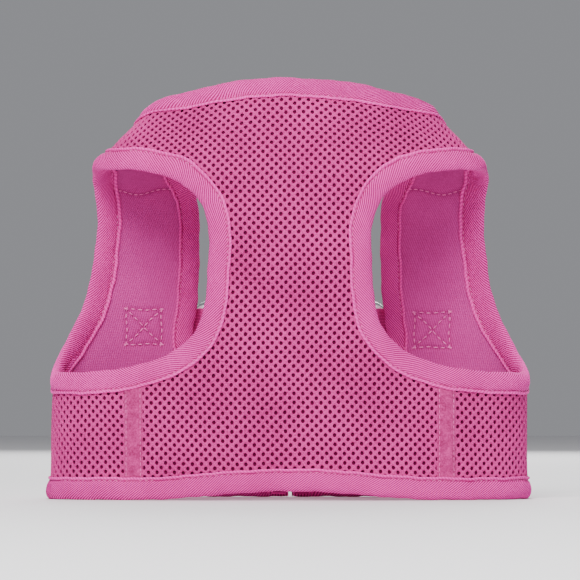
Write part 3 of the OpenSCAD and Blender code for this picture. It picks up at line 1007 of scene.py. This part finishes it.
def makeStrap(side, sign):
    path = strapPath(sign)
    # even spacing along the strap, then a little smoothing where it leaves the wing
    run = runOf(path[:, strap["rows"] // 2], 0)
    at = np.arange(0, run[-1], strap["step"])
    path = np.stack([[np.interp(at, run, path[:, c, k]) for k in range(3)]
                     for c in range(path.shape[1])], 0)
    path = np.moveaxis(path, (0, 1, 2), (1, 2, 0))
    for _ in range(6):
        path[1:-1] = (path[:-2] + 2 * path[1:-1] + path[2:]) / 4
    along = np.gradient(path, axis=0)
    across = np.gradient(path, axis=1)
    out = np.cross(along, across) * sign
    out /= np.linalg.norm(out, axis=-1, keepdims=True)
    n, m = path.shape[:2]
    w = np.linspace(-.5, .5, m) * strap["width"]
    a, c = np.meshgrid(at, w, indexing="ij")
    weave = (.5 + .5 * np.cos(c * math.tau / strap["ribAcross"])) * (
        .6 + .4 * np.cos(a * math.tau / strap["ribAlong"]
                         + np.floor(c / strap["ribAcross"] + .5) * math.pi))
    thick = strap["thick"] / 2 * np.clip(1 - (np.abs(c) / (strap["width"] / 2)) ** 24 * .7, 0, 1)
    lift = out * (thick - strap["relief"] + strap["relief"] * weave)[..., None]
    points = np.concatenate([path + lift, (path - lift)[:, ::-1]], axis=1)
    relief = np.concatenate([weave, weave[:, ::-1]], axis=1)
    width = 2 * m
    i = np.arange(n * width).reshape(n, width)
    j = np.roll(i, -1, axis=1)
    quads = np.stack([i[:-1], i[1:], j[1:], j[:-1]], -1).reshape(-1, 4)
    uv = np.stack([np.concatenate([a, a], 1), np.concatenate([c, c[:, ::-1] + 60], 1)], -1)
    # the weave's relief goes with the mesh to paint shade into its hollows
    mesh = newMesh(side + "_webbing_strap", inFrame(points).reshape(-1, 3), quads,
                   uv.reshape(-1, 2), {"weaveRelief": relief.ravel()})
    capEnds(mesh, width)
    bend = [(sign * strap[key] * mm, 0, strap["middle"] * mm) for key in ("bendFrom", "bendTo")]
    addPiece(mesh.name, mesh, (side + "_wing", side + "_strap_end", *bend), webbing,
             [side + "_sewn_webbing", side + "_strap"])
    sewLines(side + "_box_stitches_outside", boxLines(sign, strap["boxLift"]), side + "_wing",
             pitch=2.3, length=1.95, thick=.5)
    middle, reach = strap["middle"], strap["tackReach"]
    z = np.linspace(middle - reach, middle + reach, 24)
    tacks = [np.stack([np.full(24, sign * (strap["ring"] + aside)), strap["y"] + y + 0 * z, z], -1)
             for aside in (-strap["tackAside"], strap["tackAside"])
             for y in (strap["tackLift"], -strap["tackLift"])]
    sewLines(side + "_bar_tacks", tacks, side + "_strap_end", pitch=1.5, length=1.3, thick=.4)


for side, sign in sides:
    makeStrap(side, sign)
print("straps made")

# buckle, slider and rings
hardware = dict(bevel=.35, prongBevel=.15, weld=.002)


def mouldedCopy(node, body, material, bevel):
    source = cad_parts[node]
    mesh = source.data.copy()
    made = bmesh.new()
    made.from_mesh(mesh)
    bmesh.ops.remove_doubles(made, verts=made.verts, dist=hardware["weld"] * mm)
    bmesh.ops.dissolve_limit(made, angle_limit=math.radians(1), verts=made.verts,
                             edges=made.edges)
    bmesh.ops.recalc_face_normals(made, faces=made.faces)
    made.to_mesh(mesh)
    made.free()
    mesh.name = node + "_part"
    shadeSmooth(mesh)
    piece = addPiece(mesh.name, mesh, body, material, [node])
    if bevel:
        edge = piece.modifiers.new("edges", "BEVEL")
        edge.width, edge.segments = bevel * mm, 2
        edge.limit_method, edge.angle_limit = "ANGLE", math.radians(40)
        edge.harden_normals = True


for node, body in (("buckle_socket", "left_strap_end"), ("buckle_plug", "right_strap_end"),
                   ("strap_slider", "slider"), ("upper_prong", "upper_prong"),
                   ("lower_prong", "lower_prong")):
    mouldedCopy(node, body, plastic,
                hardware["prongBevel" if "prong" in node else "bevel"])
for side, sign in sides:
    mouldedCopy(side + "_d_ring", side + "_ring", metal, 0)
print("hardware made")

# camera, light and floor
view = dict(width=.2563, height=.093, distance=1.6, eyeHeight=.04, sensor=36, near=.05, far=30)
lamps = (("key", (-.3, -1.25, 1.15), (0, 0, .09), .8, 40),
         ("fill", (.5, -1.5, .4), (0, 0, .09), 1.0, 5),
         ("top", (0, .1, 1.6), (0, 0, .1), 1.2, 16),
         ("rear", (.2, 1.5, .9), (0, 0, .1), 1.2, 24))
floorReach = 4.0


def placeCamera():
    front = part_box("hem_binding")[0].y
    target = Vector((0, front, view["height"]))
    eye = Vector((0, front - view["distance"], view["eyeHeight"]))
    data = bpy.data.cameras.new("camera")
    data.sensor_width = view["sensor"]
    data.lens = view["sensor"] * (target - eye).length / view["width"]
    data.clip_start, data.clip_end = view["near"], view["far"]
    camera = bpy.data.objects.new("camera", data)
    camera.location = eye
    camera.rotation_euler = (target - eye).to_track_quat("-Z", "Y").to_euler()
    bpy.context.scene.collection.objects.link(camera)
    bpy.context.scene.camera = camera


def addLight(name, place, aim, size, power):
    data = bpy.data.lights.new(name, "AREA")
    data.shape, data.size, data.energy = "SQUARE", size, power
    lamp = bpy.data.objects.new(name, data)
    lamp.location = place
    lamp.rotation_euler = (Vector(aim) - Vector(place)).to_track_quat("-Z", "Y").to_euler()
    bpy.context.scene.collection.objects.link(lamp)


def makeFloor():
    shader = Shader("paleFloor", .7, Specular_IOR_Level=.2)
    shader.colour(palette["floor"])
    mesh = bpy.data.meshes.new("studio_floor")
    s = floorReach
    mesh.from_pydata([(-s, -s, 0), (s, -s, 0), (s, s, 0), (-s, s, 0)], [], [(0, 1, 2, 3)])
    floor = bpy.data.objects.new("studio_floor", mesh)
    mesh.materials.append(shader.material)
    bpy.context.scene.collection.objects.link(floor)


placeCamera()
makeFloor()
for lamp in lamps:
    addLight(*lamp)
world = bpy.data.worlds.new("studio")
world.use_nodes = True
world.node_tree.nodes["Background"].inputs["Color"].default_value = (.93, .94, 1, 1)
world.node_tree.nodes["Background"].inputs["Strength"].default_value = .3
bpy.context.scene.world = world
